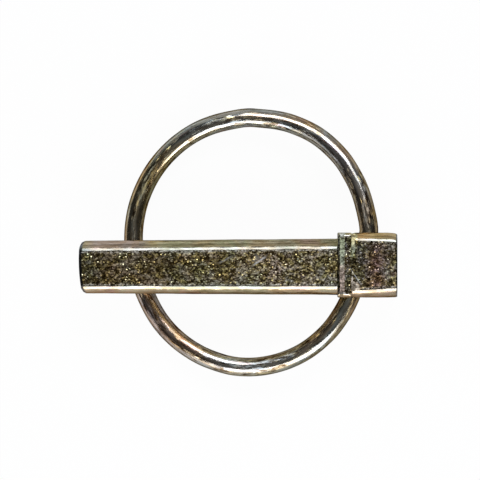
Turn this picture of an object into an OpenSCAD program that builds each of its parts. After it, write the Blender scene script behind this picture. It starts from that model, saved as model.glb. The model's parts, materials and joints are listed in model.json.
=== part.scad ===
// Lynch pin: a square shank with a forged head, and a spring ring that swings through the
// head's slanted hole and snaps back against the shank. Sizes are in millimetres.
// The pin's own frame has its origin on the middle of the slanted hole, +X along the shank
// towards the head and +Z out of the front face. as_it_lies() then lays the pin down.

/* [Shank] */
// Length of the shank, from the shoulder to the tip
shank_length = 47.2; // [40:0.1:60]
// Width across the flats where the shank meets the head
root_width = 10.3; // [8:0.05:11]
// Width across the flats at the tip
tip_width = 9.65; // [7.5:0.05:11]
// Radius of the shank's four long edges
edge_radius = 2; // [0.5:0.1:2.5]
// Bevel round the edge of the tip
tip_bevel = 0.6; // [0.3:0.1:1.5]
// Radius of the slight crown on the tip's end
tip_crown = 22; // [15:1:80]

/* [Head] */
// Width of the head, both ways
head_width = 11.8; // [11.4:0.1:14]
// How far the head sits above the middle of the shank
head_rise = 0.4; // [0:0.05:0.4]
// Length of the head's main block
block_length = 8.25; // [7:0.05:14]
// Radius of the block's long edges
block_radius = 1.8; // [1:0.1:2.5]
// Bevel round the block's cut end
end_bevel = 0.2; // [0.1:0.1:1]
// Length of the collar between the block and the shank
collar_length = 2.6; // [2:0.1:4]
// Radius of the collar's long edges
collar_radius = 0.5; // [0.2:0.1:1]
// Length of the slope on the collar's front and back, on the shank's side
collar_slope = 1.1; // [0.5:0.1:1.8]
// Depth of that slope at the shoulder
collar_slope_depth = 0.5; // [0.2:0.1:0.7]
// Depth of the crease between collar and block
crease_depth = 0.25; // [0.1:0.05:0.5]

/* [Ring hole] */
// Lean of the ring's hole from square across the head
hole_slant = 16; // [10:0.5:18]
// Distance from the shoulder to the middle of the hole
hole_setback = 4; // [3.8:0.1:5]
// Running clearance between wire and hole, all round
hole_play = 0.08; // [0.02:0.01:0.1]
// Depth of the flared mouth at each end of the hole, where the wire starts to bend
mouth_depth = 1; // [0.5:0.1:1.5]
// How much the mouth's radius grows over that depth
mouth_flare = 0.35; // [0.3:0.05:0.8]

/* [Spring ring] */
// Diameter of the spring wire
wire_diameter = 3.5; // [3:0.1:3.7]
// Bend radius of the ring's wide half, to the middle of the wire
wide_radius = 21.8; // [21.2:0.1:26]
// Bend radius of the ring's narrow half
narrow_radius = 20.3; // [19.5:0.1:20.8]
// Bend radius of the flatter stretch beside the tip, where the two halves meet
side_radius = 29; // [27:1:40]
// Radius of the tight bends where the wire leaves the head
throat_radius = 3.2; // [3:0.1:5]
// How far the wide half's centre lies from the middle of the hole, along it
wide_drop = 0.5; // [0:0.1:1]
// How far the narrow half's centre lies from the middle of the hole, along it
narrow_drop = 3.7; // [2.5:0.1:4.5]
// Space between the two cut ends of the wire inside the hole
end_space = 1.5; // [0.5:0.1:3]
// Gap between the closed ring and the shank
closed_gap = 0.03; // [0.02:0.01:0.1]

/* [Lie] */
// Roll of the pin where it comes to rest on its ring and one corner of its head
lie_roll = 3; // [2:0.5:4]

/* [Hidden] */
$fn = 96;
corner_fn = 32;
// Thickness of the discs that a tapered form is stretched over, and how far a cut runs clear
skin = 0.1;
clear = 5;
// How far a lapped bend of the wire runs over its neighbours, and how much thicker it is
lap = 0.1;
lap_rise = 0.01;

head_length = collar_length + block_length;
shoulder_x = -hole_setback;
tip_x = shoulder_x - shank_length;
head_end_x = shoulder_x + head_length;
crease_x = shoulder_x + collar_length;
wire_radius = wire_diameter / 2;
hole_radius = wire_radius + hole_play;

// The wire is straight as far as the flare, which ends at the far side of the slanted mouth.
leg_reach = head_width / 2 / cos(hole_slant) + hole_radius * tan(hole_slant) - mouth_depth;

// The tight bends turn the wire from the hole on to two halves with their centres as named.
wide_throat_turn = asin((leg_reach + wide_drop) / (wide_radius - throat_radius));
narrow_throat_turn = asin((leg_reach - narrow_drop) / (narrow_radius - throat_radius));
// Centres of the ring's bends, in the ring's plane: [away from the hole, along the hole].
wide_throat = [throat_radius, leg_reach];
narrow_throat = [throat_radius, -leg_reach];
wide_middle = [throat_radius + (wide_radius - throat_radius) * cos(wide_throat_turn), -wide_drop];
narrow_middle =
    [throat_radius + (narrow_radius - throat_radius) * cos(narrow_throat_turn), -narrow_drop];
// The side bend runs smoothly into both halves, so its centre lies on both lines of centres.
middles = wide_middle - narrow_middle;
along = (pow(side_radius - narrow_radius, 2) - pow(side_radius - wide_radius, 2)
    + middles * middles) / (2 * norm(middles));
across = sqrt(pow(side_radius - narrow_radius, 2) - along * along);
side_middle = narrow_middle
    + (along * middles + across * [-middles.y, middles.x]) / norm(middles);
wide_end = atan2(wide_middle.y - side_middle.y, wide_middle.x - side_middle.x);
narrow_start = atan2(narrow_middle.y - side_middle.y, narrow_middle.x - side_middle.x);

// Closed, the wire passes just under the shank. It comes nearest at the lower edge of the
// flat, at this distance from the hole, which sets the lean of the ring's plane.
flat_edge = -head_rise - (tip_width / 2 - edge_radius);
edge_offset = side_middle * [sin(hole_slant), cos(hole_slant)] - flat_edge;
lever = side_middle.x - edge_offset * sin(hole_slant)
    + sqrt(pow(side_radius, 2) - edge_offset * edge_offset) * cos(hole_slant);
shank_share = (shoulder_x + lever) / shank_length;
shank_depth = (root_width + (tip_width - root_width) * shank_share) / 2;
ring_lean = asin((shank_depth + wire_radius + closed_gap) / lever);

// Directions in the pin's frame: along the hole, out across the ring, square to the ring.
hole_way = [sin(hole_slant), cos(hole_slant), 0];
ring_way = [-cos(hole_slant) * cos(ring_lean), sin(hole_slant) * cos(ring_lean), -sin(ring_lean)];
ring_square = cross(ring_way, hole_way);
ring_middle = wide_middle.x * ring_way + wide_middle.y * hole_way;
head_corner = [head_end_x - end_bevel, block_radius - head_width / 2, block_radius - head_width / 2];

// The lowest points of head and ring, once the pin is rolled by lie_roll and pitched.
function laid(v, pitch) =
    let (side = v.y * cos(lie_roll) - v.z * sin(lie_roll),
        up = v.y * sin(lie_roll) + v.z * cos(lie_roll))
    [v.x * cos(pitch) + up * sin(pitch), side, up * cos(pitch) - v.x * sin(pitch)];
function head_low(pitch) =
    laid(head_corner, pitch).z - block_radius * sqrt(1 - pow(laid([1, 0, 0], pitch).z, 2));
function ring_low(pitch) =
    laid(ring_middle, pitch).z - wide_radius * sqrt(1 - pow(laid(ring_square, pitch).z, 2))
    - wire_radius;
// The pitch that lets both touch the same flat surface, found in a few steps.
function settled(pitch, steps) = steps == 0 ? pitch
    : settled(pitch + atan((head_low(pitch) - ring_low(pitch))
        / (head_corner.x - ring_middle.x + wide_radius)), steps - 1);
lie_pitch = settled(0, 6);
// Half the ring's reach along +Y and -Y, and the tip and head along X, to centre the pin.
wide_side = laid(ring_middle, lie_pitch).y + wide_radius + wire_radius;
narrow_side = laid(narrow_middle.x * ring_way + narrow_middle.y * hole_way, lie_pitch).y
    - narrow_radius - wire_radius;
lie_shift = [-(tip_x + head_end_x) / 2 * cos(lie_pitch), -(wide_side + narrow_side) / 2,
    -head_low(lie_pitch)];

module as_it_lies() {
    translate(lie_shift) rotate([lie_roll, lie_pitch, 0]) children();
}

// Four discs at the corners of a cross-section, for a hull to stretch over.
module section(x, width, depth, radius, length = skin) {
    for (y = [-1, 1], z = [-1, 1])
        translate([x, y * (width / 2 - radius), z * (depth / 2 - radius)])
            rotate([0, 90, 0]) cylinder(h = length, r = radius, $fn = corner_fn);
}

// The square shank: tapered, with rolled edges, a bevelled tip and a slightly crowned end.
module shank() {
    beveled = tip_width - 2 * tip_bevel;
    translate([0, -head_rise, 0]) difference() {
        hull() {
            section(shoulder_x, root_width, root_width, edge_radius, collar_length / 2);
            section(tip_x + tip_bevel, tip_width, tip_width, edge_radius);
            section(tip_x, beveled, beveled, edge_radius);
        }
        outside_crown();
    }
}

// Everything just beyond the tip's crown: a block with a ball taken out of it. The block is
// deep enough to reach the corners of the square, where the crown lies furthest back.
module outside_crown() {
    crown_depth = tip_crown - sqrt(pow(tip_crown, 2) - pow(tip_width, 2) / 2) + skin;
    difference() {
        translate([tip_x + crown_depth - clear, -tip_width, -tip_width])
            cube([clear, 2 * tip_width, 2 * tip_width]);
        translate([tip_x + tip_crown, 0, 0]) rotate([0, 90, 0]) sphere(r = tip_crown);
    }
}

// The collar: square-edged, and sloped at its front and back on the shank's side.
module collar() {
    sloped = head_width - 2 * collar_slope_depth;
    hull() {
        section(shoulder_x, head_width, sloped, collar_radius);
        section(shoulder_x + collar_slope, head_width, head_width, collar_radius,
            collar_length - collar_slope);
    }
}

// The main block of the head, with rolled edges and a lightly bevelled cut end.
module block() {
    beveled = head_width - 2 * end_bevel;
    hull() {
        section(crease_x, head_width, head_width, block_radius, block_length - end_bevel);
        section(head_end_x - skin, beveled, beveled, block_radius);
    }
}

// The shallow vee crease that runs round between collar and block.
module crease() {
    for (turn = [0:90:270])
        rotate([turn, 0, 0]) translate([crease_x, 0, head_width / 2]) rotate([0, 45, 0])
            cube([crease_depth * sqrt(2), head_width + clear, crease_depth * sqrt(2)], center = true);
}

// The slanted hole: a plain bore, and a cone at each end that opens into the flared mouth.
module ring_hole() {
    rotate([-90, 0, -hole_slant]) {
        cylinder(h = head_width + 2 * clear, r = hole_radius, center = true);
        for (side = [0, 1]) mirror([0, 0, side]) translate([0, 0, leg_reach - mouth_depth])
            cylinder(h = 3 * mouth_depth, r1 = hole_radius - mouth_flare,
                r2 = hole_radius + 2 * mouth_flare);
    }
}

module pin() {
    color("darkkhaki") as_it_lies() difference() {
        union() {
            shank();
            collar();
            block();
        }
        crease();
        ring_hole();
    }
}

// One bend of the wire in the ring's plane, from one angle round to another. A lapped bend
// is a hair thicker and runs a little way over its neighbours, so that they join as one wire.
module bend(middle, radius, from, to, lapped = false) {
    lap_turn = lapped ? lap / radius * 180 / PI : 0;
    translate([middle.x, middle.y, 0]) rotate([0, 0, from - lap_turn])
        rotate_extrude(angle = to - from + 2 * lap_turn) translate([radius, 0])
            circle(r = wire_radius + (lapped ? lap_rise : 0), $fn = 48);
}

// A straight end of the wire, inside the head's hole.
module leg(side) {
    translate([0, side * end_space / 2, 0]) rotate([-90 * side, 0, 0])
        cylinder(h = leg_reach - end_space / 2, d = wire_diameter, $fn = 48);
}

// The whole ring, flat in its plane with the hole's axis along Y.
module flat_ring() {
    leg(1);
    bend(wide_throat, throat_radius, 180 - wide_throat_turn, 180, lapped = true);
    bend(wide_middle, wide_radius, wide_end, 180 - wide_throat_turn);
    bend(side_middle, side_radius, narrow_start, wide_end, lapped = true);
    bend(narrow_middle, narrow_radius, narrow_throat_turn - 180, narrow_start);
    bend(narrow_throat, throat_radius, -180, narrow_throat_turn - 180, lapped = true);
    leg(-1);
}

// The ring in place: its plane turned to the slanted hole and leant under the shank.
module spring_ring() {
    color("goldenrod") as_it_lies()
        rotate([0, 0, -hole_slant]) rotate([0, 180 - ring_lean, 0]) flat_ring();
}

pin();
spring_ring();
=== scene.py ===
import json
import math

import bmesh
import bpy
from mathutils import Matrix, Vector, noise


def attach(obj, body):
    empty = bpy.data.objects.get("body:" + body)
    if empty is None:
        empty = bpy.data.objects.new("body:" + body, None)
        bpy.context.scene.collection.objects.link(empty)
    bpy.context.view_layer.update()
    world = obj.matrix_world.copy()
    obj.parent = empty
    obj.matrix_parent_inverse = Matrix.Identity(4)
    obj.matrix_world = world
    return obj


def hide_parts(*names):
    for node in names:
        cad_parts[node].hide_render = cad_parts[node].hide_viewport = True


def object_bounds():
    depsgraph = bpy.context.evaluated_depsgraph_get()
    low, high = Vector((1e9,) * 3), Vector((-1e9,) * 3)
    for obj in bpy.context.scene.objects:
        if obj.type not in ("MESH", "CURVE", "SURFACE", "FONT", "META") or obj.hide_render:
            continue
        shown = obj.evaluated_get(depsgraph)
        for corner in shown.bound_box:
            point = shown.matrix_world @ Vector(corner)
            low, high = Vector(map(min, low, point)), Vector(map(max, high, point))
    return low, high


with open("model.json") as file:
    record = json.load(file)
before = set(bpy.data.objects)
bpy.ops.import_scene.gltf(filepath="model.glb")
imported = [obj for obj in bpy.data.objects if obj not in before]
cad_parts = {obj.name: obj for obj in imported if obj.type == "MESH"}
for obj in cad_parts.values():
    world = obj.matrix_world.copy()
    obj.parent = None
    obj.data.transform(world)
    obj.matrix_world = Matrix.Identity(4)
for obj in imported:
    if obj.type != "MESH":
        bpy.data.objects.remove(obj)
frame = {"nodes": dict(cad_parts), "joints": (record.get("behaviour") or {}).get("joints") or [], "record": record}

cad_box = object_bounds()

# ---------------------------------------------------------------------------------------------
# The pin: one piece of square bar steel. Its end is upset into a wider head with a collar and a
# block, a slanted hole is drilled through the head for the ring, and the whole is tumbled and
# yellow zinc plated, which leaves it pitted, rounded and faintly iridescent.
# ---------------------------------------------------------------------------------------------
# Sizes are in millimetres. The pin's own x runs along it from the hole's middle towards the
# head's end, its y across it to the ring's wide half, and its z out of its front.
MM = 0.001
SHANK_LENGTH = 46.98
ROOT_WIDTH, TIP_WIDTH = 10.22, 9.56
# How far the shank was upset off the head's middle, at the head and at the tip.
ROOT_OFFSET, TIP_OFFSET = -0.31, -0.36
# Rolled edges on the ring's wide side and on its narrow side, at the head and at the tip.
ROOT_EDGES, TIP_EDGES = (1.98, 1.83), (2.06, 1.5)
LEAST_EDGE, LEAST_FLAT = 0.1, 0.02
# How much smaller a rolled edge gets for each millimetre that a section is inset.
EDGE_LOSS = 0.6
# How full a rolled edge is: 2 would be a quarter round and 1 a chamfer.
EDGE_FULLNESS = 1.6
HEAD_WIDTH = 11.8
COLLAR_LENGTH, BLOCK_LENGTH = 2.6, 8.18
COLLAR_EDGES, BLOCK_EDGES, END_EDGES = (0.6, 0.72), (1.5, 1.45), (1.72, 1.88)
# The slope on the collar's front and back, and how much its corner is worn.
SLOPE_LENGTH, SLOPE_DEPTH, SLOPE_WEAR = 1.1, 0.5, 0.02
# The slanted hole: how far past the shoulder it is drilled, and the flare of its two mouths.
HOLE_SETBACK = 4.0
HOLE_RADIUS = 1.83
HOLE_SLANT = math.radians(16)
MOUTH_DEPTH, MOUTH_FLARE = 1.0, 0.35

shoulder = -HOLE_SETBACK
tip = shoulder - SHANK_LENGTH
crease = shoulder + COLLAR_LENGTH
head_end = crease + BLOCK_LENGTH


def lying(middle, x_way, y_way, z_way):
    """The matrix that lays something's own x, y and z along three ways, about a middle."""
    return Matrix.Translation(middle) @ Matrix((x_way, y_way, z_way)).transposed().to_4x4()


# The pin's own directions as it lies: along to the head, across to the wide half, out of its front.
ring_joint = frame["joints"][0]
mounts = {mount["name"]: mount for mount in frame["record"]["mounts"]}
hole_middle = Vector(ring_joint["pos_m"])
hole_way = -Vector(ring_joint["axis"]).normalized()
head_way = Vector(mounts["head_end"]["axis"]).normalized()
side_way = (hole_way - hole_way.dot(head_way) * head_way).normalized()
front_way = head_way.cross(side_way)
pin_lies = lying(hole_middle, head_way, side_way, front_way)


def smooth(t):
    """0 to 1 with no corner at either end."""
    t = min(1.0, max(0.0, t))
    return t * t * (3 - 2 * t)


def rising(x, start, width):
    """0 before the start, then smoothly up to 1 over this width."""
    return smooth((x - start) / width)


def falling(x, end, width):
    """0 past the end, and smoothly up to 1 over this width before it."""
    return smooth((end - x) / width)


def mixed(a, b, t):
    """From a to b, this share of the way."""
    return a + (b - a) * t


def along(stops, x):
    """The value at x on a smooth line through (place, value) stops."""
    for (x0, a), (x1, b) in zip(stops, stops[1:]):
        if x < x1:
            t = rising(x, x0, x1 - x0)
            return tuple(mixed(p, q, t) for p, q in zip(a, b)) if isinstance(a, tuple) else mixed(a, b, t)
    return stops[-1][1]


# A cross-section is: place along the pin, middle, half width across, half depth front to back,
# the two edge radii, and how much of the sheared tip's shape it takes.
def shank_section(x, inset=0.0, sheared=0.0):
    """The square shank, which tapers to its tip. The further a section is inset, the smaller its
    rolled edges are."""
    share = (x - tip) / SHANK_LENGTH
    half = mixed(TIP_WIDTH, ROOT_WIDTH, share) / 2 - inset
    edges = [max(LEAST_EDGE, min(mixed(near_tip, near_head, share) - EDGE_LOSS * inset, half - LEAST_EDGE))
             for near_tip, near_head in zip(TIP_EDGES, ROOT_EDGES)]
    return x, mixed(TIP_OFFSET, ROOT_OFFSET, share), half, half, edges, sheared


def head_section(x, inset, deep, edges):
    """The wider head. Deep says how far its front and back lie in from their full depth."""
    return x, 0.0, HEAD_WIDTH / 2 - inset, HEAD_WIDTH / 2 - inset - deep, edges, 0.0


def even(edge):
    """The same rolled edge on the wide side and on the narrow side."""
    return edge, edge


def slope_at(x):
    """How deep the collar's slope lies, this far past the shoulder."""
    return SLOPE_DEPTH - SLOPE_WEAR - x * SLOPE_DEPTH / SLOPE_LENGTH


# The sheared end's face from its middle out, then its worn bevel, back to the plain shank.
sections = [shank_section(tip, inset, 1.0) for inset in (4.6, 3.9, 3.1, 2.3, 1.6, 1.0, 0.7, 0.5, 0.36)]
for back, inset, sheared in ((0.0, 0.29, 1.0), (0.03, 0.25, 1.0), (0.13, 0.19, 0.97), (0.26, 0.115, 0.93),
                             (0.39, 0.05, 0.88), (0.52, 0.015, 0.82), (0.7, 0.0, 0.73), (1.0, 0.0, 0.58),
                             (1.35, 0.0, 0.4), (1.7, 0.0, 0.22), (2.1, 0.0, 0.06)):
    sections.append(shank_section(tip + back, inset, sheared))
SHANK_STEPS, SHEAR_REACH, FILLET_REACH = 132, 2.5, 0.3
for i in range(SHANK_STEPS + 1):
    sections.append(shank_section(mixed(tip + SHEAR_REACH, shoulder - FILLET_REACH, i / SHANK_STEPS)))
# A tight fillet where the shank meets the shoulder, then the rim of the shoulder's flat face.
for x, out in ((-0.16, 0.01), (-0.08, 0.04), (-0.03, 0.09), (0, 0.16)):
    sections.append(shank_section(shoulder + x, -out))
sections.append((shoulder + 0.004, -0.18, HEAD_WIDTH / 2 - 0.35, HEAD_WIDTH / 2 - SLOPE_DEPTH - 0.13,
                 even(0.9), 0.0))
# The collar's square outer corner, the slope on its front and back, and its flat length.
for x, inset, edge in ((0.01, 0.13, 0.5), (0.04, 0.06, 0.47), (0.1, 0.015, 0.46)):
    sections.append(head_section(shoulder + x, inset, slope_at(x), even(edge)))
for x in (0.2, 0.33, 0.46, 0.6, 0.74, 0.88, 0.98, 1.04):
    sections.append(head_section(shoulder + x, 0, slope_at(x), COLLAR_EDGES))
for x, deep in ((1.09, 0.01), (1.16, 0.0), (1.35, 0.0), (1.55, 0.0), (1.78, 0.0), (2.0, 0.0)):
    sections.append(head_section(shoulder + x, 0, deep, COLLAR_EDGES))
# The crease, pinched between the two blows that upset the head, and the block's lean up from it.
for x, inset, edge in ((-0.42, 0.0, 0.5), (-0.26, 0.02, 0.6), (-0.16, 0.07, 0.7), (-0.08, 0.13, 0.8),
                       (-0.02, 0.16, 0.9), (0.04, 0.17, 1.0), (0.16, 0.14, 1.1), (0.34, 0.09, 1.25),
                       (0.52, 0.045, 1.38), (0.66, 0.015, 1.46)):
    sections.append(head_section(crease + x, inset, 0, even(edge)))
BLOCK_STEPS, LEAN_REACH, END_REACH = 22, 0.8, 2.0
for i in range(BLOCK_STEPS + 1):
    share = i / BLOCK_STEPS
    edges = [mixed(near, far, share) for near, far in zip(BLOCK_EDGES, END_EDGES)]
    sections.append(head_section(mixed(crease + LEAN_REACH, head_end - END_REACH, share), 0, 0, edges))
# The sheared end draws the block in a little, mostly across it, with a crisp bevel and then the
# flat face.
for x, inset in ((1.6, 0.015), (1.2, 0.035), (0.8, 0.06), (0.5, 0.085), (0.3, 0.11), (0.17, 0.15),
                 (0.09, 0.2), (0.03, 0.26), (0.0, 0.36), (0.0, 0.6), (0.0, 1.2), (0.0, 2.2), (0.0, 3.4),
                 (0.0, 4.6)):
    sections.append((head_end - x, -0.4 * inset, HEAD_WIDTH / 2 - inset, HEAD_WIDTH / 2 - 0.5 * inset,
                     END_EDGES, 0.0))


def rolled_edge(turn):
    """Where a rolled edge's face has turned this far: its share of the edge before and after."""
    lean = math.tan(turn) ** (1 / (EDGE_FULLNESS - 1))
    before = (1 + lean ** EDGE_FULLNESS) ** (-1 / EDGE_FULLNESS)
    return before, before * lean


FLAT_STEPS, EDGE_STEPS = 26, 18
# How far each flat's grey, matt rim reaches in from the edges beside it.
RIM_WIDTH = 0.55
# Where a rolled edge starts to be rubbed and over how much it gets fully so, both by the sine of
# twice the angle that its face has turned.
RUB_START, RUB_WIDTH = 0.1, 0.35


def outline(middle, half_y, half_z, edges):
    """One closed round over the four flats and the four rolled edges. Each point is its y and z,
    how rubbed it is, how far its face leans from the front or back (a sine), and how near a rim."""
    points = []
    radii = (edges[0], edges[1], edges[1], edges[0])
    for corner in range(4):
        # Each quarter is drawn as its flat facing +y and the edge after that, and then turned.
        quarter = math.pi / 2 * corner
        cosine, sine = round(math.cos(quarter)), round(math.sin(quarter))
        out, half = (half_y, half_z) if corner % 2 == 0 else (half_z, half_y)
        before, after = (min(radius, out - LEAST_FLAT, half - LEAST_FLAT)
                         for radius in (radii[corner - 1], radii[corner]))
        drawn = []
        for i in range(FLAT_STEPS):
            place = mixed(before - half, half - after, i / FLAT_STEPS)
            rim = smooth(1 - min(place + half - before, half - after - place) / RIM_WIDTH)
            drawn.append((out, place, 0.0, 0.0, rim))
        for i in range(EDGE_STEPS):
            angle = math.pi / 2 * i / EDGE_STEPS
            rub = rising(math.sin(2 * angle), RUB_START, RUB_WIDTH)
            first, second = rolled_edge(angle)
            drawn.append((out - after + after * first, half - after + after * second, rub, angle, 1 - rub))
        for u, v, rub, angle, rim in drawn:
            leans = abs(math.cos(angle) if sine == 0 else math.sin(angle))
            points.append((u * cosine - v * sine + middle, u * sine + v * cosine, rub, leans, rim))
    return points


CROWN_MIDDLE, CROWN_RADIUS = 1.0, 33.0
# Where the sheared tip's two corners start to wear away, and how fast.
WIDE_CORNER, WIDE_WEAR = 2.7, 0.2
NARROW_CORNER, NARROW_WEAR = -4.2, 0.48


def sheared_back(y):
    """How far the sheared tip lies back from its furthest point: crowned, with two worn corners."""
    crown = (y - CROWN_MIDDLE) ** 2 / (2 * CROWN_RADIUS)
    return crown + WIDE_WEAR * max(0.0, y - WIDE_CORNER) ** 2 + NARROW_WEAR * max(0.0, NARROW_CORNER - y)


# Unevenness from forging and tumbling, in three sizes: waves in a millimetre along and across,
# how deep they go, and where in the noise they start. Sunk says how far they lie inward on average.
BEATEN = ((0.16, 0.3, 0.035, (3.1, 7.7, 1.3)),
          (0.55, 0.7, 0.022, (11.0, 2.0, 5.0)),
          (1.5, 1.6, 0.012, (4.0, 9.0, 8.0)))
SUNK = 0.3
# Nearer the middle of an end face than this, the waves fade out.
CALM_MIDDLE = 3


def beaten(x, y, z):
    """How far out from its true place forging and tumbling left the surface here."""
    return sum(depth * (noise.noise(Vector((x * length, y * girth, z * girth)) + Vector(start)) - SUNK)
               for length, girth, depth, start in BEATEN)


# The tint of the chromate film along the pin: on the rolled edges of the wide side and of the narrow side, the
# narrow side's also darkened as painted shade; on the flats; and on the rubbed rims between them, grey zinc
# darkened as painted shade where the edges' highlights fall, most at the tip.
MAUVE = (1.07, 0.93, 0.93)
OLIVE = (1.0, 0.94, 0.66)
GOLD = (1.14, 0.96, 0.68)
GREEN = (0.92, 1.02, 0.86)
PLAIN = (1.0, 1.0, 1.0)
WIDE_EDGE_TINTS = ((-51, OLIVE), (-47.5, MAUVE), (-41, MAUVE), (-37, OLIVE), (-24, OLIVE), (-21, GREEN),
                   (-19, GOLD), (-13, (1.04, 0.99, 0.8)), (-7, (1.05, 0.98, 0.76)), (-4, OLIVE),
                   (0.3, (1.48, 1.06, 0.58)), (3, (1.3, 0.95, 0.52)), (6, (1.22, 0.94, 0.62)))
NARROW_EDGE_TINTS_AND_SHADE = ((-51, (1.06, 0.98, 0.9)), (-46, (1.1, 0.96, 0.84)), (-40, (1.14, 0.96, 0.8)),
                     (-37, (1.0, 0.86, 0.68)), (-30, (0.97, 0.82, 0.62)), (-18, (0.95, 0.84, 0.66)),
                     (-8, (0.94, 0.84, 0.68)), (0, (0.93, 0.8, 0.7)), (6, (0.74, 0.71, 0.64)))
FLAT_TINTS = ((-51, (0.72, 0.70, 0.68)), (-40, (0.74, 0.68, 0.60)), (-30, (0.92, 0.90, 0.83)),
              (-22, (1.08, 1.09, 1.05)), (-10, (1.2, 1.25, 1.34)), (-4.2, (1.2, 1.23, 1.25)),
              (-4, (0.66, 0.72, 0.86)), (0, (0.7, 0.74, 0.88)), (3, (0.86, 0.66, 0.8)),
              (5.5, (1.0, 0.95, 1.0)), (6.9, (1.06, 1.02, 1.08)))
RUBBED_RIM_AND_SHADE_TINTS = ((-51, (0.36, 0.39, 0.43)), (-46, (0.5, 0.52, 0.54)), (-40, (0.58, 0.59, 0.6)),
                    (-4.2, (0.6, 0.61, 0.62)), (-4, PLAIN), (-1.7, PLAIN), (-1.2, (0.72, 0.73, 0.74)),
                    (6, (0.68, 0.69, 0.7)))
# What the narrow side's brown painted shade lets through, the flats' grey rims, the end bevels' painted dark
# reflection, and the middles of the two end faces.
NARROW_SIDE_SHADE = (0.62, 0.52, 0.42)
RIM_GREY, RIM_MATT, RIM_GREYING = (1.0, 1.0, 1.04), 0.56, 0.8
BEVEL_PAINTED_DARK, BEVEL_RUB = (0.36, 0.4, 0.48), 0.8
CAP_TINT = (0.8, 0.8, 0.8)
# The tint across the pin, from its narrow side to its wide side: on the slope, whose near-white top end on the
# wide side is a painted highlight, and in the crease, whose lighter cream and yellow ends are painted highlights.
SLOPE_TINTS_AND_HIGHLIGHT = ((-6, (1.2, 0.98, 0.92)), (-2, (1.2, 1.0, 0.96)), (-0.6, (1.2, 1.04, 0.98)),
               (0.6, (0.98, 1.06, 0.92)), (4.9, (0.98, 1.08, 0.82)), (5.3, (1.6, 1.65, 1.65)))
CREASE_TINTS_AND_HIGHLIGHTS = ((-6, (1.4, 1.22, 1.08)), (-3, (1.24, 1.12, 1.06)), (-1, (0.9, 0.94, 0.99)),
                (2, (0.96, 1.12, 1.05)), (5, (1.48, 1.35, 0.9)))

# Each of these is a (start, width) for rising or an (end, width) for falling. By how far a face leans from the
# front: the narrow side's brown painted shade, and the far side of each side's rubbed rim, whose grey is darkened
# as painted shade where the highlights fall.
BROWN_SHADE_LEANS, PAST_WIDE_RIM, PAST_NARROW_RIM = (0.62, 0.25), (0.42, 0.14), (0.36, 0.14)
# In millimetres past the shoulder and across the pin: the slope.
SLOPE_STARTS, SLOPE_ENDS = (0.25, 0.2), (1.25, 0.15)
SLOPE_NARROW_START, SLOPE_WIDE_END = (-5.1, 0.3), (5.8, 0.2)
# In millimetres past the crease and across the pin: the crease, and where it flares at both ends with its painted
# highlights.
CREASE_STARTS, CREASE_NARROW_START = (-0.3, 0.15), (-5.3, 0.8)
NARROW_FLARE_END, WIDE_FLARE_START = (-2.8, 1.2), (1.5, 1.5)
# How far the crease reaches over the block, what each flare adds, and the width it fades over.
CREASE_REACH, NARROW_FLARE, WIDE_FLARE, CREASE_FADE = 0.5, 1.1, 0.35, 0.5
# How matt the crease is in its middle, what its ends add, where its middle is and where they start.
CREASE_MATT, CREASE_ENDS_MATT, CREASE_MIDDLE, CREASE_ENDS = 0.35, 0.5, 0.2, (1.6, 1.6)
# How far round the head's edges the tints of its front and back reach.
FRONT_OVERLAP = 1.2


def edge_tint(x, y, leans):
    """The film's tint on a rolled edge, with its painted shade, by how far its face leans from the front."""
    wide_side = y > 0
    edge = along(WIDE_EDGE_TINTS if wide_side else NARROW_EDGE_TINTS_AND_SHADE, x)
    # The narrow side's edges are darkened with a brown painted shade, most where they turn furthest from the
    # front.
    film = 0.0 if wide_side else rising(leans, *BROWN_SHADE_LEANS)
    edge = [tone * mixed(1.0, through, film) for tone, through in zip(edge, NARROW_SIDE_SHADE)]
    # Next to the flats the edges are rubbed back to plain grey zinc, which is darkened there as painted shade
    # where their highlights fall.
    past_rim = rising(leans, *(PAST_WIDE_RIM if wide_side else PAST_NARROW_RIM))
    return [mixed(grey, tone, past_rim) for grey, tone in zip(along(RUBBED_RIM_AND_SHADE_TINTS, x), edge)]


def slope_share(x, y):
    """1 on the slope of the collar's front or back, and 0 off it."""
    past_shoulder = x - shoulder
    lengthwise = rising(past_shoulder, *SLOPE_STARTS) * falling(past_shoulder, *SLOPE_ENDS)
    return lengthwise * (falling(y, *SLOPE_WIDE_END) * rising(y, *SLOPE_NARROW_START))


def crease_share(x, y):
    """1 in the crease and 0 off it. It flares over the block at both ends, most on the narrow side, where its tint
    paints highlights.
    """
    past_crease = x - crease
    reach = CREASE_REACH + NARROW_FLARE * falling(y, *NARROW_FLARE_END)
    reach += WIDE_FLARE * rising(y, *WIDE_FLARE_START)
    lengthwise = rising(past_crease, *CREASE_STARTS) * falling(past_crease, reach, CREASE_FADE)
    return lengthwise * rising(y, *CREASE_NARROW_START)


def plate_tint(x, y, z, rub, leans, rim):
    """The film's tint, with its painted shade and painted highlights, and how matt the surface is, at one place on
    the pin.
    """
    on_front_or_back = abs(z) > abs(y) - FRONT_OVERLAP
    if on_front_or_back:
        slope, pinch = slope_share(x, y), crease_share(x, y)
        # The slope's tint turns near white at its top end on the wide side: a painted highlight.
        if slope > 0:
            return along(SLOPE_TINTS_AND_HIGHLIGHT, y), slope
        # The crease's tint turns lighter, cream and yellow, at both its ends: painted highlights.
        if pinch > 0:
            ends = rising(abs(y - CREASE_MIDDLE), *CREASE_ENDS)
            return along(CREASE_TINTS_AND_HIGHLIGHTS, y), pinch * (CREASE_MATT + CREASE_ENDS_MATT * ends)
    tint = [mixed(flat, edge, rub) for flat, edge in zip(along(FLAT_TINTS, x), edge_tint(x, y, leans))]
    # Along their rims the flats are turned to a plain grey and made matt.
    return [mixed(tone, grey, RIM_GREYING * rim) for tone, grey in zip(tint, RIM_GREY)], RIM_MATT * rim


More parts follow.
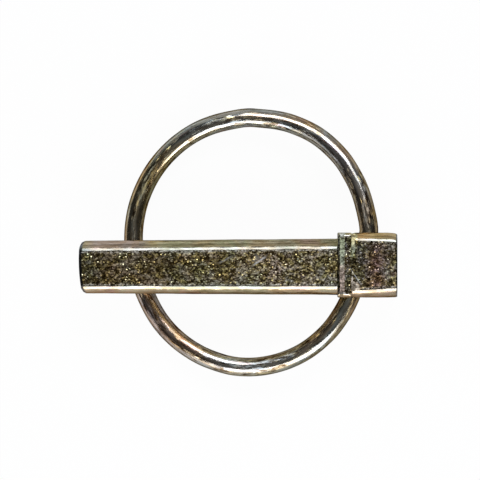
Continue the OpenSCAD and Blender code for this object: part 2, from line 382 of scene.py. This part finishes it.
def banded(made, rows):
    """Faces between each round of corners and the next."""
    count = len(rows[0])
    for row, following in zip(rows, rows[1:]):
        for i in range(count):
            after = (i + 1) % count
            made.faces.new((row[i], row[after], following[after], following[i]))


def closed(name, made):
    """The piece itself, once all its faces are there: they are turned outward."""
    bmesh.ops.recalc_face_normals(made, faces=made.faces)
    mesh = bpy.data.meshes.new(name)
    made.to_mesh(mesh)
    made.free()
    piece = bpy.data.objects.new(name, mesh)
    bpy.context.scene.collection.objects.link(piece)
    return piece


def shaded_smooth(mesh):
    for face in mesh.polygons:
        face.use_smooth = True


def skinned(name, rounds):
    """A closed skin over rounds of points, capped at both ends with a fan about its middle."""
    made = bmesh.new()
    rows = [[made.verts.new([c * MM for c in point]) for point in one] for one in rounds]
    count = len(rows[0])
    banded(made, rows)
    for row, flip in ((rows[0], True), (rows[-1], False)):
        centre = made.verts.new(sum((corner.co for corner in row), Vector()) / count)
        for i in range(count):
            ends = (row[(i + 1) % count], row[i]) if flip else (row[i], row[(i + 1) % count])
            made.faces.new((centre, *ends))
    piece = closed(name, made)
    shaded_smooth(piece.data)
    return piece


def marked(piece, name, kind, values):
    """Gives each point of a piece a value of its own, which its finish reads by this name."""
    socket = {"FLOAT": "value", "FLOAT_COLOR": "color", "FLOAT_VECTOR": "vector"}[kind]
    piece.data.attributes.new(name, kind, "POINT").data.foreach_set(socket, values)


# Each is a (start, width): the sides past the end faces' rims, by how far a section lies out from
# the full width, and the head's bevel, by how far past the head's end it lies.
PAST_END_RIM, HEAD_BEVEL = (-0.7, 0.3), (-0.3, 0.15)
# How long the tip's bevel is, and the width it fades over.
TIP_BEVEL, TIP_BEVEL_FADE = 0.62, 0.25
rounds, rubbed, tints, matts = [], [], [], []
for x, middle, half_y, half_z, edges, sheared in sections:
    # The wear stops at the rims of the two end faces.
    full_width = TIP_WIDTH if x < 0 else HEAD_WIDTH
    sides = rising(half_y - full_width / 2, *PAST_END_RIM)
    # The bevels at both ends are bare and smooth, and their colour is darkened to a bluish grey as a painted
    # reflection of the dark room.
    bevel = sides * max(falling(x, tip + TIP_BEVEL, TIP_BEVEL_FADE), rising(x - head_end, *HEAD_BEVEL))
    one = []
    for y, z, rub, leans, rim in outline(middle, half_y, half_z, edges):
        swell = 1 + beaten(x, y, z) / max(abs(y - middle), abs(z), CALM_MIDDLE)
        one.append((x + sheared * sheared_back(y), middle + (y - middle) * swell, z * swell))
        rub *= sides
        tint, matt = plate_tint(x, y, z, rub, leans, rim * sides)
        tints += [*(mixed(tone, bare, bevel) for tone, bare in zip(tint, BEVEL_PAINTED_DARK)), 1.0]
        rubbed.append(max(rub, BEVEL_RUB * bevel))
        matts.append(matt)
    rounds.append(one)
# The middles of the two end faces.
rubbed += [0.0] * 2
tints += [*CAP_TINT, 1.0] * 2
matts += [0.0] * 2
forged_pin = skinned("forged_pin", rounds)
marked(forged_pin, "rolled", "FLOAT", rubbed)
marked(forged_pin, "matt", "FLOAT", matts)
marked(forged_pin, "tint", "FLOAT_COLOR", tints)

# The slanted hole through the head, with a flared mouth at both sides where the wire bends. The
# drill that cuts it keeps widening past the mouths, so that it clears the head.
BORE_TINT = (0.8, 0.78, 0.72)
DRILL_SIDES, PAST_MOUTH = 64, 4
# Edges that the cut leaves shorter than this, in metres, are closed up.
SLIVER = 3e-6
leg_reach = HEAD_WIDTH / 2 / math.cos(HOLE_SLANT) + HOLE_RADIUS * math.tan(HOLE_SLANT) - MOUTH_DEPTH


def drill_for_ring():
    """The drill's shape: a rod through the head that widens as a cone at each end."""
    along_hole = Vector((math.sin(HOLE_SLANT), math.cos(HOLE_SLANT), 0))
    across_hole = Vector((math.cos(HOLE_SLANT), -math.sin(HOLE_SLANT), 0))
    reach, mouth = leg_reach + PAST_MOUTH * MOUTH_DEPTH, HOLE_RADIUS + PAST_MOUTH * MOUTH_FLARE
    made, rows = bmesh.new(), []
    for place, radius in ((-reach, mouth), (-leg_reach, HOLE_RADIUS), (leg_reach, HOLE_RADIUS),
                          (reach, mouth)):
        row = []
        for k in range(DRILL_SIDES):
            turn = 2 * math.pi * k / DRILL_SIDES
            point = along_hole * place + across_hole * radius * math.cos(turn)
            row.append(made.verts.new((point + Vector((0, 0, radius * math.sin(turn)))) * MM))
        rows.append(row)
    banded(made, rows)
    made.faces.new(rows[0][::-1])
    made.faces.new(rows[-1])
    bit = closed("drill", made)
    marked(bit, "tint", "FLOAT_COLOR", [*BORE_TINT, 1.0] * len(bit.data.vertices))
    return bit


def drilled(piece, bit):
    """Cuts the drill's shape out of the piece, and tidies the slivers that the cut leaves."""
    cut = piece.modifiers.new("ring_hole", "BOOLEAN")
    cut.operation, cut.object, cut.solver = "DIFFERENCE", bit, "EXACT"
    bpy.context.view_layer.update()
    mesh = bpy.data.meshes.new_from_object(piece.evaluated_get(bpy.context.evaluated_depsgraph_get()))
    piece.modifiers.clear()
    piece.data = mesh
    bpy.data.objects.remove(bit)
    cleaned = bmesh.new()
    cleaned.from_mesh(mesh)
    bmesh.ops.dissolve_degenerate(cleaned, dist=SLIVER, edges=cleaned.edges)
    bmesh.ops.triangulate(cleaned, faces=[face for face in cleaned.faces if len(face.verts) > 4])
    cleaned.to_mesh(mesh)
    cleaned.free()
    shaded_smooth(mesh)


def laid_down(piece, lies, places=None):
    """Puts the piece where it lies, and keeps each point's own place on it for the finish."""
    places = places or [point.co.copy() for point in piece.data.vertices]
    marked(piece, "own_place", "FLOAT_VECTOR", [c for place in places for c in place])
    piece.data.transform(lies)


drilled(forged_pin, drill_for_ring())
laid_down(forged_pin, pin_lies)


def fed(made, sockets):
    """Gives each of these sockets of a node its value, or joins it to another node's socket."""
    for name, value in sockets.items():
        socket = made.inputs[name]
        if isinstance(value, bpy.types.NodeSocket):
            made.id_data.links.new(value, socket)
        elif socket.type == "RGBA":
            socket.default_value = (*value, 1.0)
        else:
            socket.default_value = value
    return made


def nodes_of(*values):
    """The nodes of the material that these sockets belong to. Plain numbers are passed over."""
    return next(value.id_data.nodes for value in values if isinstance(value, bpy.types.NodeSocket))


def kept(nodes, name):
    """What the piece's points were marked with under this name."""
    made = nodes.new("ShaderNodeAttribute")
    made.attribute_name = name
    return made.outputs


def worked(operation, a, b):
    made = nodes_of(a, b).new("ShaderNodeMath")
    made.operation = operation
    return fed(made, {0: a, 1: b}).outputs[0]


def swing(value, amount):
    """Turns a value from 0 to 1 into one that goes half this amount either way."""
    return worked("MULTIPLY", worked("SUBTRACT", value, 0.5), amount)


def arrows(operation, sockets):
    """Works on places and directions, which are three numbers each."""
    made = nodes_of(*sockets.values()).new("ShaderNodeVectorMath")
    made.operation = operation
    return fed(made, sockets).outputs


def mixed_by(factor, a, b, kind="MIX"):
    made = nodes_of(factor, a, b).new("ShaderNodeMix")
    made.data_type = "RGBA"
    made.blend_type = kind
    return fed(made, {"Factor": factor, "A": a, "B": b}).outputs["Result"]


def ramp(value, stops):
    """A run through (place, colour or grey level) stops."""
    made = fed(nodes_of(value).new("ShaderNodeValToRGB"), {"Fac": value})
    line = made.color_ramp.elements
    while len(line) < len(stops):
        line.new(0.5)
    for stop, (place, tone) in zip(line, stops):
        stop.position = place
        stop.color = (*(tone if isinstance(tone, tuple) else (tone,) * 3), 1.0)
    return made.outputs["Color"]


def split(value, kind):
    """The three parts of a colour, a place or a direction."""
    return fed(nodes_of(value).new(kind), {0: value}).outputs


def shifted(place, shift):
    """The same place seen elsewhere in the noise, so that no two clouds are alike."""
    return arrows("ADD", {0: place, 1: (shift, shift * 0.7, shift * 1.3)})[0]


def clouds(place, scale, detail, rough, shift=None, distortion=0.0):
    made = nodes_of(place).new("ShaderNodeTexNoise")
    return fed(made, {"Vector": shifted(place, shift) if shift else place, "Scale": scale, "Detail": detail,
                      "Roughness": rough, "Distortion": distortion}).outputs["Fac"]


def cells(place, scale, shift):
    made = nodes_of(place).new("ShaderNodeTexVoronoi")
    return fed(made, {"Vector": shifted(place, shift), "Scale": scale}).outputs


# The front face's height above the pin's middle, how far up and down a scratch shows from it, and
# how ragged a scratch is.
FRONT_HEIGHT, SCRATCH_REACH, SCRATCH_RAGGED = 5, 3, 2.2


def scratch_marks(own_place, fine, scratches):
    """Scratches on the front: middle, turn, half length and half width in millimetres, strength."""
    marks = None
    for x, y, turn, half_length, half_width, strength in scratches:
        line = nodes_of(own_place).new("ShaderNodeMapping")
        line.vector_type = "TEXTURE"
        line = fed(line, {"Vector": own_place, "Location": (x * MM, y * MM, FRONT_HEIGHT * MM),
                          "Rotation": (0, 0, math.radians(turn)),
                          "Scale": (half_length * MM, half_width * MM, SCRATCH_REACH * MM)}).outputs[0]
        length, width, depth = split(arrows("ABSOLUTE", {0: line})[0], "ShaderNodeSeparateXYZ")
        off = worked("MAXIMUM", worked("MAXIMUM", length, width), depth)
        off = worked("ADD", off, swing(fine, SCRATCH_RAGGED))
        mark = worked("MULTIPLY", ramp(off, [(0.45, 1.0), (1.0, 0.0)]), strength)
        marks = mark if marks is None else worked("MAXIMUM", marks, mark)
    return marks


# The broader unevenness: how many times as fine and as deep as the pits it is. Then how much
# shallower both are where the plate is rubbed.
BROAD_FINENESS, BROAD_DEPTH, RUBBED_AWAY = 0.28, 3.2, 0.55


def pitted(place, grain, pit, rub):
    """Small pits and a broader unevenness, both shallower where the plate is rubbed."""
    facing = None
    for scale, detail, depth, shift in ((grain, 4, pit, 0.31),
                                        (grain * BROAD_FINENESS, 3, pit * BROAD_DEPTH, 0.41)):
        bump = fed(nodes_of(place).new("ShaderNodeBump"), {
            "Distance": depth, "Strength": worked("SUBTRACT", 1.0, worked("MULTIPLY", rub, RUBBED_AWAY)),
            "Height": clouds(place, scale, detail, rough=0.6, shift=shift)})
        if facing:
            fed(bump, {"Normal": facing})
        facing = bump.outputs["Normal"]
    return facing


# How rough the crystals, the hammered places and the scratches are, from 0 for a mirror to 1.
CRYSTAL_ROUGHNESS, HAMMERED_ROUGHNESS, SCRATCH_ROUGHNESS = 0.4, 0.72, 0.6
# How many times as rough the dullest rubbed place is as the brightest, how ragged the hammered
# places are, and how much of the colour under a scratch it hides.
POLISH_SPREAD, HAMMERED_RAGGED, SCRATCH_HIDES = 1.9, 1.6, 0.75
# How far the rubbed streaks are drawn out along the piece: less than 1 is longer.
RUBBED_STREAK = (0.22, 1.0, 1.0)


def plated(name, tones, grain, pit, streak, scratches=()):
    """Yellow zinc plate: a mottled, iridescent film of chromate over a pitted, tumbled surface.
    Grain is how many grains lie along a metre, pit how deep they go in metres, and streak how they
    are drawn out: less than 1 is longer."""
    finish = bpy.data.materials.new(name)
    finish.use_nodes = True
    nodes = finish.node_tree.nodes
    own_place = kept(nodes, "own_place")["Vector"]
    place = fed(nodes.new("ShaderNodeMapping"), {"Vector": own_place, "Scale": streak}).outputs[0]

    # Brown film in the pits, bare grey zinc where tumbling rubbed it, in patches.
    grit = split(cells(place, grain * 2.1, shift=0.63)["Color"], "ShaderNodeSeparateColor")[0]
    fine = clouds(place, grain * 0.8, detail=6, rough=0.72, shift=0.11)
    fine = worked("ADD", fine, swing(grit, tones["grit"]))
    wear = clouds(place, grain * tones["wear_size"], detail=5, rough=0.68, shift=0.77)
    rub = worked("ADD", kept(nodes, "rolled")["Fac"], swing(wear, tones["wear"]))
    rub = ramp(rub, [(0.42, 0.0), (0.62, 1.0)])
    brown = ramp(fine, [(0.36, tones["dark"]), (0.47, tones["brown"]), (0.55, tones["olive"]),
                        (0.66, tones["gold"])])
    bare = ramp(fine, [(0.37, tones["brown"]), (0.49, tones["grey"]), (0.65, tones["pale"])])
    patch = clouds(place, grain * 0.2, detail=6, rough=0.72, shift=0.05, distortion=0.5)
    flat = mixed_by(ramp(patch, [(0.47, 0.0), (0.57, 1.0)]), brown, bare)

    # Small crystals in loose clusters, whose cream to yellow colour is a painted glint; their lean, below, lets a
    # few catch the real light as well.
    crystals = cells(place, grain * 0.8, shift=0.23)
    chance = split(crystals["Color"], "ShaderNodeSeparateColor")
    cluster = clouds(place, grain * 0.1, detail=3, rough=0.6, shift=0.37)
    crystal = ramp(crystals["Distance"], [(0.14, 1.0), (0.34, 0.0)])
    crystal = worked("MULTIPLY", crystal, ramp(chance[0], [(0.25, 0.0), (0.35, 1.0)]))
    crystal = worked("MULTIPLY", crystal, ramp(cluster, [(0.36, 0.5), (0.52, 1.0)]))
    painted_glint = ramp(chance[1], [(0.2, tones["green"]), (0.45, tones["cream"]), (0.8, tones["yellow"])])
    flat = mixed_by(crystal, flat, painted_glint)

    # The worn edges are streaked lengthwise, from rubbing along one another in the barrel.
    lengthwise = fed(nodes.new("ShaderNodeMapping"), {"Vector": own_place, "Scale": RUBBED_STREAK})
    streaks = clouds(lengthwise.outputs[0], grain * 0.5, detail=4, rough=0.65)
    worn = ramp(streaks, [(0.38, tones["rub_dark"]), (0.56, tones["rub"])])

    # The film's broad tints lie over both, and some places are hammered dull.
    film = clouds(place, tones["film_size"], detail=4, rough=0.6, shift=0.02, distortion=0.6)
    film = ramp(film, list(zip((0.32, 0.43, 0.52, 0.6, 0.7), tones["film"])))
    colour = mixed_by(1.0, mixed_by(rub, flat, worn), film, "MULTIPLY")
    matt = kept(nodes, "matt")["Fac"]
    ragged = ramp(worked("ADD", matt, swing(fine, HAMMERED_RAGGED)), [(0.35, 0.0), (0.75, 1.0)])
    ragged = worked("MULTIPLY", ragged, ramp(matt, [(0.02, 0.0), (0.2, 1.0)]))
    blows = clouds(place, grain * 0.6, detail=5, rough=0.7, shift=0.53)
    colour = mixed_by(ragged, colour, ramp(blows, list(zip((0.38, 0.5, 0.6), tones["hammered"]))))
    # The marked tint also carries the painted shade and painted highlights set along the pin and the wire.
    colour = mixed_by(1.0, colour, kept(nodes, "tint")["Color"], "MULTIPLY")

    # Rough in the grain, dull on crystals and where it is hammered, and smooth where it is rubbed.
    polish = clouds(place, grain * 0.5, detail=4, rough=0.6, shift=0.2)
    polish = ramp(polish, [(0.35, tones["polish"]), (0.7, POLISH_SPREAD * tones["polish"])])
    rough = ramp(fine, [(0.4, 0.22), (0.55, 0.34), (0.68, 0.48)])
    rough = mixed_by(crystal, rough, (CRYSTAL_ROUGHNESS,) * 3)
    rough = mixed_by(rub, rough, polish)
    rough = mixed_by(ragged, rough, (HAMMERED_ROUGHNESS,) * 3)
    if scratches:
        scratched = scratch_marks(own_place, fine, scratches)
        colour = mixed_by(worked("MULTIPLY", scratched, SCRATCH_HIDES), colour, tones["scratch"])
        rough = mixed_by(scratched, rough, (SCRATCH_ROUGHNESS,) * 3)

    # Each crystal leans its own way, so that a few of them catch a light.
    lean = arrows("SUBTRACT", {0: crystals["Color"], 1: (0.5, 0.5, 0.5)})[0]
    reach = worked("MULTIPLY", worked("MULTIPLY", crystal, worked("SUBTRACT", 1.0, rub)), tones["lean"])
    lean = arrows("SCALE", {0: lean, "Scale": reach})[0]
    facing = arrows("NORMALIZE", {0: arrows("ADD", {0: pitted(place, grain, pit, rub), 1: lean})[0]})[0]
    fed(nodes["Principled BSDF"], {"Base Color": colour, "Roughness": rough, "Normal": facing,
                                   "Metallic": 1.0, "Specular Tint": tones["grazing"]})
    return finish


# The pin's colours, from the bottom of a pit up to a bare grain, its crystals, its rubbed edges, its
# hammered places and its scratches. Then how much each kind of unevenness shows, and the film's tints.
forged_tones = {"dark": (0.03, 0.02, 0.005), "brown": (0.12, 0.09, 0.038), "olive": (0.25, 0.21, 0.095),
                "gold": (0.72, 0.63, 0.3), "grey": (0.26, 0.225, 0.17), "pale": (0.76, 0.72, 0.61),
                "green": (0.8, 0.8, 0.56), "cream": (0.95, 0.9, 0.74), "yellow": (0.95, 0.8, 0.38),
                "rub_dark": (0.26, 0.24, 0.19), "rub": (0.44, 0.43, 0.39),
                "hammered": ((0.10, 0.09, 0.07), (0.38, 0.38, 0.34), (0.75, 0.75, 0.7)),
                "scratch": (0.6, 0.62, 0.62), "grazing": (0.45, 0.42, 0.38),
                "lean": 0.75, "grit": 0.19, "wear": 2.2, "wear_size": 0.7, "polish": 0.13, "film_size": 170,
                "film": ((1.08, 0.9, 0.97), (1.1, 1.0, 0.86), (1.0, 1.0, 1.0), (0.95, 1.03, 0.97),
                         (1.08, 0.94, 1.0))}
forged_finish = plated("zinc_on_forged_steel", forged_tones, grain=2700, pit=0.00002, streak=(0.8, 1.0, 1.0),
                       scratches=((-18.3, 0.7, 35, 1.7, 0.2, 0.9), (-18.9, 1.1, 50, 0.9, 0.6, 0.4),
                                  (-24.5, 0.9, 28, 1.4, 0.2, 0.5), (-0.8, -2.05, -57, 1.9, 0.09, 1.0)))
forged_pin.data.materials.clear()
forged_pin.data.materials.append(forged_finish)
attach(forged_pin, "pin_body")
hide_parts("pin")

# ---------------------------------------------------------------------------------------------
# The ring: one length of drawn spring wire, bent on a former into two unequal halves. Both cut
# ends are sprung into the head's hole, which it turns in, and it snaps flat against the shank.
# ---------------------------------------------------------------------------------------------
WIRE_RADIUS = 1.75
# Bends at the hole's mouths, round the wide half, the narrow half and the far side that joins them.
THROAT, WIDE, NARROW, SIDE = 3.2, 21.8, 20.3, 29.0
# How far the middles of the two halves lie off the hole's own middle, towards the narrow side.
WIDE_DROP, NARROW_DROP = 0.5, 3.7
# The space between the wire's two cut ends, inside the head.
END_SPACE = 1.5

# Middles of the bends in the ring's plane: (away from the hole, along the hole).
wide_turn = math.asin((leg_reach + WIDE_DROP) / (WIDE - THROAT))
narrow_turn = math.asin((leg_reach - NARROW_DROP) / (NARROW - THROAT))
wide_middle = Vector((THROAT + (WIDE - THROAT) * math.cos(wide_turn), -WIDE_DROP))
narrow_middle = Vector((THROAT + (NARROW - THROAT) * math.cos(narrow_turn), -NARROW_DROP))
between = wide_middle - narrow_middle
part_way = ((SIDE - NARROW) ** 2 - (SIDE - WIDE) ** 2 + between.length_squared) / (2 * between.length)
off_line = math.sqrt((SIDE - NARROW) ** 2 - part_way ** 2)
square_off = Vector((-between.y, between.x))
side_middle = narrow_middle + (part_way * between + off_line * square_off) / between.length
wide_to_side = math.atan2(wide_middle.y - side_middle.y, wide_middle.x - side_middle.x)
side_to_narrow = math.atan2(narrow_middle.y - side_middle.y, narrow_middle.x - side_middle.x)

route = []  # (point, outward direction in the plane)


def straight(start, end, steps):
    """A leg of the wire inside the hole. Its outward side faces away from the ring."""
    for i in range(steps):
        route.append((start.lerp(end, i / steps), Vector((-1, 0))))


def bend(middle, radius, start, end, steps):
    for i in range(steps):
        angle = mixed(start, end, i / steps)
        way = Vector((math.cos(angle), math.sin(angle)))
        route.append((middle + radius * way, way))


straight(Vector((0, END_SPACE / 2)), Vector((0, leg_reach)), steps=14)
bend(Vector((THROAT, leg_reach)), THROAT, math.pi, math.pi - wide_turn, steps=8)
bend(wide_middle, WIDE, math.pi - wide_turn, wide_to_side, steps=250)
bend(side_middle, SIDE, wide_to_side, side_to_narrow, steps=34)
bend(narrow_middle, NARROW, side_to_narrow, narrow_turn - math.pi, steps=160)
bend(Vector((THROAT, -leg_reach)), THROAT, narrow_turn - math.pi, -math.pi, steps=5)
straight(Vector((0, -leg_reach)), Vector((0, -END_SPACE / 2)), steps=14)
route.append((Vector((0, -END_SPACE / 2)), Vector((-1, 0))))

# The former leaves the wire a little out of true: (place along the wire, how far outward).
OUT_OF_TRUE = ((0, 0.0), (6, 0.0), (10, -0.13), (16, -0.04), (20.5, 0.13), (26, 0.2), (31, 0.08),
               (37, -0.14), (39.5, -0.05), (43, -0.17), (50, -0.05), (64, -0.08), (71, -0.08), (82, 0.0),
               (89, 0.06), (96, 0.03), (101, 0.08), (107, 0.24), (118, 0.21), (125, 0.1), (129, 0.0),
               (134, 0.0), (140, 0.0))
# How much thinner than its nominal size the wire was drawn, and how much it wavers.
DRAWN_THINNER, WAVER, FINE_WAVER = 0.03, 0.012, 0.006
WAVES_ALONG, WAVES_ROUND = 0.35, 1.6
# The film's tint along the wire, and what the brown painted shade on its sides and their edges takes off that.
WIRE_TINTS = ((0, GOLD), (12, (1.04, 0.98, 0.9)), (20, (1.03, 0.97, 0.96)), (30, PLAIN),
              (40, (1.02, 0.99, 0.95)), (50, (0.97, 1.0, 0.96)), (62, OLIVE), (74, (1.05, 0.98, 0.84)),
              (90, (1.06, 0.93, 0.98)), (100, (1.04, 0.98, 0.96)), (108, (1.04, 0.99, 0.9)),
              (118, (0.96, 1.0, 1.0)), (128, (1.0, 1.0, 0.92)), (140, GOLD))
WIRE_SIDE_SHADE, WIRE_EDGE_SHADE = (0.3, 0.25, 0.13), (0.72, 0.72, 0.66)
# Where round the wire its sides and their edges start, and the width that each takes to show fully.
WIRE_SIDES, WIRE_EDGES = (0.6, 0.25), (0.7, 0.15)
# How much of the sides' painted shade shows where the wire runs along the pin, and where it runs across.
ALONG_SHADE, ACROSS_SHADE = 0.2, 0.55
# How rubbed the wire is all over, from 0 for its film to 1 for bare zinc.
WIRE_RUB = 0.53
ROUND_STEPS = 44


def wire_tint_and_shade(run, turn, out):
    """The film's tint at one place on the wire, with a brown painted shade on its sides, most where the wire runs
    across the pin."""
    aside = abs(math.cos(turn))
    side = rising(aside, *WIRE_SIDES) * mixed(ALONG_SHADE, ACROSS_SHADE, out.x ** 2)
    edge = rising(aside, *WIRE_EDGES)
    return [tone * mixed(1.0, side_shade, side) * mixed(1.0, edge_shade, edge)
            for tone, side_shade, edge_shade in zip(along(WIRE_TINTS, run), WIRE_SIDE_SHADE, WIRE_EDGE_SHADE)]


rounds, wire_places, tints, run = [], [], [], 0.0
for i, (point, out) in enumerate(route):
    if i:
        run += (point - route[i - 1][0]).length
    one = []
    for k in range(ROUND_STEPS):
        turn = 2 * math.pi * k / ROUND_STEPS
        near = Vector((run * WAVES_ALONG, math.cos(turn) * WAVES_ROUND, math.sin(turn) * WAVES_ROUND))
        radius = WIRE_RADIUS - DRAWN_THINNER
        radius += WAVER * noise.noise(near) + FINE_WAVER * noise.noise(near * 3.0)
        flat = point + out * (radius * math.cos(turn) + along(OUT_OF_TRUE, run))
        one.append((flat.x, flat.y, radius * math.sin(turn)))
        wire_places.append((run * MM, WIRE_RADIUS * MM * math.cos(turn), WIRE_RADIUS * MM * math.sin(turn)))
        tints += [*wire_tint_and_shade(run, turn, out), 1.0]
    rounds.append(one)
# The middles of the wire's two cut ends.
wire_places += [(0, 0, 0), (run * MM, 0, 0)]
tints += [*PLAIN, 1.0] * 2
sprung_ring = skinned("sprung_ring", rounds)
marked(sprung_ring, "rolled", "FLOAT", [WIRE_RUB] * len(wire_places))
marked(sprung_ring, "tint", "FLOAT_COLOR", tints)

# The ring's plane: away from the hole, along it, and square to both.
wire = [point.co for point in frame["nodes"]["spring_ring"].data.vertices]
to_ring = sum(wire, Vector()) / len(wire) - hole_middle
away = (to_ring - to_ring.dot(hole_way) * hole_way).normalized()
laid_down(sprung_ring, lying(hole_middle, away, hole_way, away.cross(hole_way)), wire_places)

# The same for the wire, which is brighter and browner, and which drawing left with long streaks.
spring_tones = {**forged_tones,
                "dark": (0.035, 0.02, 0.012), "brown": (0.16, 0.11, 0.065), "olive": (0.36, 0.31, 0.21),
                "gold": (0.68, 0.6, 0.42), "grey": (0.42, 0.45, 0.48), "pale": (0.8, 0.83, 0.85),
                "rub_dark": (0.3, 0.275, 0.24), "rub": (0.54, 0.53, 0.51), "grazing": (0.3, 0.26, 0.22),
                "lean": 0.5, "wear": 2.6, "wear_size": 0.42, "film_size": 420,
                "film": ((1.12, 0.86, 0.72), (1.08, 0.97, 0.8), (1.0, 1.0, 1.0), (0.86, 0.97, 1.05),
                         (1.1, 0.88, 0.97))}
spring_finish = plated("zinc_on_spring_wire", spring_tones, grain=2400, pit=0.000014, streak=(0.2, 1.0, 1.0))
sprung_ring.data.materials.append(spring_finish)
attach(sprung_ring, "ring_body")
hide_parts("spring_ring")

# ---------------------------------------------------------------------------------------------
# The table: a plain sheet of matt white paper, far wider than the view, that the pin lies on.
# It shows as white to the eye, and as a softer white in the plate's reflections.
# ---------------------------------------------------------------------------------------------
# These sizes are in metres.
TABLE_HALF, TABLE_GAP = 4.0, 0.00002
PAPER, PAPER_ROUGHNESS = (0.8, 0.8, 0.8), 0.9
SEEN_WHITE, MIRRORED_WHITE = 0.96, 0.4
sheet = bpy.data.meshes.new("table")
sheet.from_pydata([(-TABLE_HALF, -TABLE_HALF, 0), (TABLE_HALF, -TABLE_HALF, 0),
                   (TABLE_HALF, TABLE_HALF, 0), (-TABLE_HALF, TABLE_HALF, 0)], [], [(0, 1, 2, 3)])
table = bpy.data.objects.new("table", sheet)
bpy.context.scene.collection.objects.link(table)
table.location.z = cad_box[0].z - TABLE_GAP
paper = bpy.data.materials.new("white_paper")
paper.use_nodes = True
nodes = paper.node_tree.nodes
lit = fed(nodes["Principled BSDF"], {"Base Color": PAPER, "Roughness": PAPER_ROUGHNESS,
                                     "Specular IOR Level": 0.0})
glow = fed(nodes.new("ShaderNodeEmission"), {"Strength": 1.0})
ray = nodes.new("ShaderNodeLightPath").outputs
seen = worked("MULTIPLY", ray["Is Camera Ray"], SEEN_WHITE)
mirrored = worked("MULTIPLY", ray["Is Glossy Ray"], MIRRORED_WHITE)
seen_through = worked("MULTIPLY", ray["Is Transmission Ray"], SEEN_WHITE)
white = worked("MAXIMUM", worked("MAXIMUM", seen_through, mirrored), seen)
shown = fed(nodes.new("ShaderNodeMixShader"), {"Fac": white, 1: lit.outputs[0], 2: glow.outputs[0]})
fed(nodes["Material Output"], {"Surface": shown.outputs[0]})
table.data.materials.append(paper)

# ---------------------------------------------------------------------------------------------
# The light: two large soft boxes, one past the ring's wide half and one past its narrow half,
# in a dim room with a soft glow low down on those two sides.
# ---------------------------------------------------------------------------------------------
# These distances are in metres: the middle of the view along the pin and across it from the
# hole, and how far off the soft boxes hang.
VIEW_ALONG, VIEW_ACROSS = -0.02174, 0.00455
BOX_DISTANCE = 0.6
BOX_GLOW, BOX_WHITE = 4.9, (0.98, 1.0, 1.06)
middle_of_view = hole_middle + VIEW_ALONG * head_way + VIEW_ACROSS * side_way


def soft_box(name, turn, down, wide, deep):
    """A lamp behind a square of cloth, with half its width and depth given as angles. Turn runs
    round from the head towards the wide half, and down from the pin's front. All are degrees."""
    turn, down, wide, deep = (math.radians(angle) for angle in (turn, down, wide, deep))
    level = head_way * math.cos(turn) + side_way * math.sin(turn)
    way = level * math.sin(down) + front_way * math.cos(down)
    box = bpy.data.lights.new(name, "AREA")
    box.shape = "RECTANGLE"
    box.size = 2 * BOX_DISTANCE * math.tan(wide)
    box.size_y = 2 * BOX_DISTANCE * math.tan(deep)
    box.energy = BOX_GLOW * math.pi * box.size * box.size_y
    box.color = BOX_WHITE
    hung = bpy.data.objects.new(name, box)
    bpy.context.scene.collection.objects.link(hung)
    across = front_way.cross(way).normalized()
    hung.matrix_world = lying(middle_of_view + way * BOX_DISTANCE, across, way.cross(across), way)


soft_box("upper_box", turn=83, down=41, wide=24, deep=12.8)
soft_box("lower_box", turn=272, down=51, wide=31, deep=15)

# How bright the room is from its horizon up to its ceiling, the glow low down in it, and how
# strong that glow is from the narrow half's side round to the wide half's side.
ROOM_LEVELS = ((0.0, 0.42), (0.05, 0.13), (0.2, 0.03), (0.75, 0.03), (0.92, 0.09), (1.0, 0.16))
LOW_GLOW = ((0.0, 0.25), (0.2, 0.8), (0.4, 1.4), (0.6, 0.0))
GLOW_SIDES = ((0.08, 1.6), (0.32, 0.0), (0.7, 0.0), (0.92, 0.5))


def warm(levels):
    """Grey levels turned to the slightly warm white of the room's walls."""
    return [(place, (level, level * 0.985, level * 0.95)) for place, level in levels]


world = bpy.data.worlds.new("room")
bpy.context.scene.world = world
world.use_nodes = True
nodes = world.node_tree.nodes
nodes.clear()
way = nodes.new("ShaderNodeTexCoord").outputs["Generated"]
height = split(way, "ShaderNodeSeparateXYZ")["Z"]
aside = arrows("DOT_PRODUCT", {0: way, 1: side_way})["Value"]
sideways = fed(nodes.new("ShaderNodeMapRange"), {"Value": aside, "From Min": -1.0}).outputs[0]
low_glow = mixed_by(1.0, ramp(height, warm(LOW_GLOW)), ramp(sideways, warm(GLOW_SIDES)), "MULTIPLY")
walls = mixed_by(1.0, ramp(height, warm(ROOM_LEVELS)), low_glow, "ADD")
room = fed(nodes.new("ShaderNodeBackground"), {"Color": walls})
fed(nodes.new("ShaderNodeOutputWorld"), {"Surface": room.outputs[0]})

# ---------------------------------------------------------------------------------------------
# The camera: far off through a long lens, so that the pin shows with almost no perspective.
# It looks square on to the pin's front.
# ---------------------------------------------------------------------------------------------
# The width that it takes in at the pin and its distance are in metres, and the sensor is in
# millimetres.
VIEW_WIDTH, DISTANCE = 0.08727, 1.5
SENSOR_WIDTH = 36.0
lens = bpy.data.cameras.new("camera")
camera = bpy.data.objects.new("camera", lens)
bpy.context.scene.collection.objects.link(camera)
lens.sensor_width = SENSOR_WIDTH
lens.lens = SENSOR_WIDTH * DISTANCE / VIEW_WIDTH
lens.clip_start, lens.clip_end = 0.1, 20
camera.matrix_world = lying(middle_of_view + DISTANCE * front_way, head_way, side_way, front_way)
bpy.context.scene.camera = camera
bpy.context.scene.view_settings.view_transform = "Standard"
